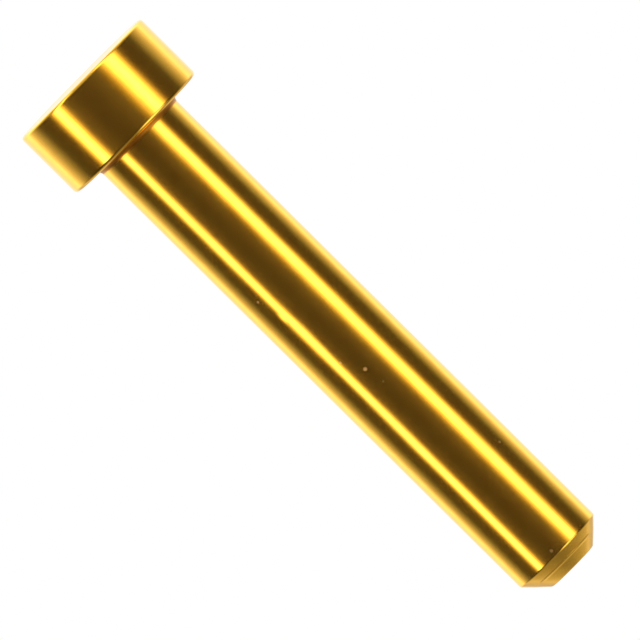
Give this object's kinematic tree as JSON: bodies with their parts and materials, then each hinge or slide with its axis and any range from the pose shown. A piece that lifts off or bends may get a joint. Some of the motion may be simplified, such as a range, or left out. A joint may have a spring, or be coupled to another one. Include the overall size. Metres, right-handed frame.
{
  "type": "headed contact pin",
  "caption": "Turned, gold-plated contact pin: a thick round head with a flat contact face, a plain round shank and a chamfered lead-in with a small flat end.",
  "frame": {"origin": "centre of the flat contact face, which is the middle of the base of the part", "axes": "+Z along the pin's axis, from the contact face to the lead-in end; X and Y are alike, because the pin is round"},
  "size_m": [0.0016, 0.0016, 0.0068],
  "materials": {
    "gold_plate": "bright gold plating over turned brass, polished, with very fine turning marks"
  },
  "bodies": {
    "root": {"contact_pin": "gold_plate"}
  },
  "joints": []
}
